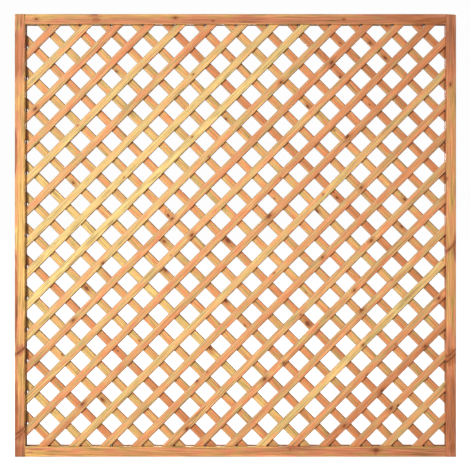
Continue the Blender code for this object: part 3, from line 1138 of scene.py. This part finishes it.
def make_member_timber(name, member, low, high):
    """Pine for one frame member, whose grain runs along X or Z."""
    timber, tree, shader = new_material(name + " dipped pine")
    spot = parts_of(add_node(tree, "ShaderNodeTexCoord")["Object"])
    middle = (low + high) / 2
    half = (high - low) / 2
    depth = minus(spot["Y"], middle.y)
    if member["grain"] == "X":
        along, half_length, start = spot["X"], half.x, middle.x
        across, half_width = minus(spot["Z"], middle.z), half.z
    else:
        along, half_length, start = spot["Z"], half.z, middle.z
        across, half_width = minus(spot["X"], middle.x), half.x
    place = vector_of(along, across, depth)

    # A branch slants through the board, so its knot comes out of the back at another place
    deep = plus(depth, half.y)
    slant_along, slant_across = BRANCH_SLANT
    slanted = vector_of(times(deep, slant_along, along), times(deep, slant_across, across), depth)
    marks = add_marks(slanted, knot_group, "Knot", member["knots"])
    marks = add_marks(slanted, branch_group, "Branch", member["branches"], marks)
    tone = add_stains(place, member["stains"], -half.y, add_painted_light_falloff(spot, member["tone"]))
    grain = {
        "Seed": member["seed"],
        "Tone": tone,
        "Mottle": FRAME_MOTTLE,
        # Painted shade towards the top and bottom
        "Shade": times(towards_ends(spot), -FRAME_END_PAINTED_SHADE, 1.0),
        "Pale Wood": FRAME_PALE_PINE,
        "Red Wood": FRAME_RED_PINE,
        "Ring Width": FRAME_RING_WIDTH,
        "Pith Spread": FRAME_PITH,
        "Pith Depth": FRAME_PITH,
    }
    sockets = {
        "Place": vector_of(minus(along, start), across, depth),
        "Half Length": half_length,
        "Half Width": half_width,
        "Half Thickness": half.y,
        "Reach": FRAME_STAIN_REACH,
        "Side Share": 0.0,
        "Lit Side Share": 1.0,
    }
    stain = times(add_group(edge_group, sockets)["Darkening"], FRAME_EDGE_SHARE)

    # The groove is as wide as the two layers of laths, and its floor and walls get painted shade
    wall_start, wall_end = (seat_high.y + margin for margin in GROOVE_WALL)
    groove = smooth_step(unsigned(depth), wall_start, wall_end, 1.0, 0.0)
    groove = times(groove, smooth_step(times(across, member["groove"]), *GROOVE_LIP))
    stain = greater(stain, times(groove, GROOVE_SHADE_SHARE))
    stain = add_corner_shade(spot, stain, [frame_sides[name]])
    add_timber(shader, place, marks, stain, 0.0, grain)
    return timber


def season_member(name, grain_axis):
    """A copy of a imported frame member, sliced along its length and very slightly uneven."""
    shape = bmesh.new()
    shape.from_mesh(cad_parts[name].data)
    bmesh.ops.remove_doubles(shape, verts=shape.verts[:], dist=MERGE_DISTANCE)
    outline = {"verts": shape.verts[:], "edges": shape.edges[:]}
    bmesh.ops.dissolve_limit(shape, angle_limit=FLAT_ANGLE, **outline)
    low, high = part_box(name)
    direction = Vector((1, 0, 0)) if grain_axis == "X" else Vector((0, 0, 1))
    length = (high - low).dot(direction)
    for cut in range(1, int(length / FRAME_SLICE)):
        everything = shape.verts[:] + shape.edges[:] + shape.faces[:]
        plane = {"plane_co": low + direction * cut * FRAME_SLICE, "plane_no": direction}
        bmesh.ops.bisect_plane(shape, geom=everything, dist=MERGE_DISTANCE, **plane)
    bmesh.ops.recalc_face_normals(shape, faces=shape.faces[:])
    shape.normal_update()
    corner = Vector((panel_high.x, 0.0, panel_high.z))
    moves = {}
    for vertex in shape.verts:
        inward = vertex.normal - direction * vertex.normal.dot(direction)
        wave = 0.5 + 0.5 * noise.noise(vertex.co * FRAME_WAVES)
        moves[vertex] = -inward * FRAME_UNEVENNESS * wave

        # Handling has worn the top right corner a little
        reach = Vector((vertex.co.x, 0.0, vertex.co.z)) - corner
        near = max(0.0, 1.0 - reach.length / WORN_CORNER_REACH)
        moves[vertex] += WORN_CORNER_PUSH * WORN_CORNER_LOSS * near * near
    for vertex, move in moves.items():
        vertex.co += move
    mesh = bpy.data.meshes.new("seasoned_" + name)
    shape.to_mesh(mesh)
    shape.free()
    mesh.shade_smooth()
    mesh.set_sharp_from_angle(angle=FRAME_SHARP_ANGLE)
    return new_object("seasoned_" + name, mesh)


for name, member in FRAME_MEMBERS.items():
    low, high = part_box(name)
    timber = make_member_timber(name, member, low, high)
    piece = season_member(name, member["grain"])
    piece.data.materials.clear()
    piece.data.materials.append(timber)
    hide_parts(name)
    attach(piece, "root")


# The corner screws: zinc-plated countersunk wood screws, one through each stile end into the
# end grain of a rail. Only their heads show, in the stiles' outer sides.

for name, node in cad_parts.items():
    if name.startswith("corner_screw"):
        node.data.materials.clear()
        node.data.materials.append(zinc)


# The studio: a white floor and background, a soft lamp to the left and a little above the panel, a
# weaker one that lights its back, and a camera a little right of the middle.

CAMERA_RIGHT = 0.14
CAMERA_HEIGHT = 1.00
CAMERA_DISTANCE = 4.12
VIEW_WIDTH = 1.9126
VIEW_MIDDLE = (-0.0017, 0.9032)
SENSOR = 36.0
LAMP_PLACE = (-5.4, -7.7, 2.4)
LAMP_SIZE = 2.0
LAMP_POWER = 40.0
LAMP_SPREAD = math.radians(42)
LAMP_AIM = (-0.12, 0.0, 0.14)
BACK_LAMP_PLACE = (-1.0, 9.6, 2.0)
BACK_LAMP_POWER = 28.0
SKY_LEVEL = 0.32
BACKDROP_LEVEL = 0.985
FLOOR_REACH = 30.0
FLOOR_GLOW = 0.73
FLOOR_ROUGHNESS = 0.9
FLOOR_COLOUR = (0.8, 0.8, 0.8, 1.0)
WHITE = (1.0, 1.0, 1.0, 1.0)

# The view is as wide as the photograph at the panel's front face, and shifted to the same middle
camera = new_object("camera", bpy.data.cameras.new("camera"))
camera.location = (CAMERA_RIGHT, panel_low.y - CAMERA_DISTANCE, CAMERA_HEIGHT)
camera.rotation_euler = (math.radians(90), 0, 0)
camera.data.sensor_width = SENSOR
camera.data.lens = SENSOR * CAMERA_DISTANCE / VIEW_WIDTH
camera.data.shift_x = (VIEW_MIDDLE[0] - CAMERA_RIGHT) / VIEW_WIDTH
camera.data.shift_y = (VIEW_MIDDLE[1] - CAMERA_HEIGHT) / VIEW_WIDTH
bpy.context.scene.camera = camera


def hang_lamp(name, place, power):
    lamp = new_object(name, bpy.data.lights.new(name, "AREA"))
    lamp.location = place
    towards = panel_middle + Vector(LAMP_AIM) - Vector(place)
    lamp.rotation_euler = towards.to_track_quat("-Z", "Y").to_euler()
    lamp.data.shape = "DISK"
    lamp.data.size = LAMP_SIZE
    lamp.data.spread = LAMP_SPREAD
    lamp.data.energy = power
    lamp.visible_camera = False


hang_lamp("soft_lamp", LAMP_PLACE, LAMP_POWER)
hang_lamp("back_lamp", BACK_LAMP_PLACE, BACK_LAMP_POWER)


def seen_directly(tree):
    """1 on rays from the camera, a mirror or glass, and 0 on rays that carry light."""
    path = add_node(tree, "ShaderNodeLightPath")
    shiny = greater(path["Is Glossy Ray"], path["Is Transmission Ray"])
    return greater(path["Is Camera Ray"], shiny)


world = bpy.data.worlds.new("White studio")
world.use_nodes = True
bpy.context.scene.world = world
sky = world.node_tree.nodes["Background"].inputs
sky["Color"].default_value = WHITE
seen = seen_directly(world.node_tree)
link(times(seen, BACKDROP_LEVEL - SKY_LEVEL, SKY_LEVEL), sky["Strength"])

floor_mesh = bpy.data.meshes.new("floor")
near, far = -FLOOR_REACH, FLOOR_REACH
corners = [(near, near, 0), (far, near, 0), (far, far, 0), (near, far, 0)]
floor_mesh.from_pydata(corners, [], [(0, 1, 2, 3)])
floor = new_object("floor", floor_mesh)
pale, tree, shader = new_material("White floor")
shader["Base Color"].default_value = FLOOR_COLOUR
shader["Roughness"].default_value = FLOOR_ROUGHNESS
shader["Emission Color"].default_value = WHITE
link(times(seen_directly(tree), FLOOR_GLOW), shader["Emission Strength"])
floor_mesh.materials.append(pale)

bpy.context.scene.view_settings.view_transform = "Standard"
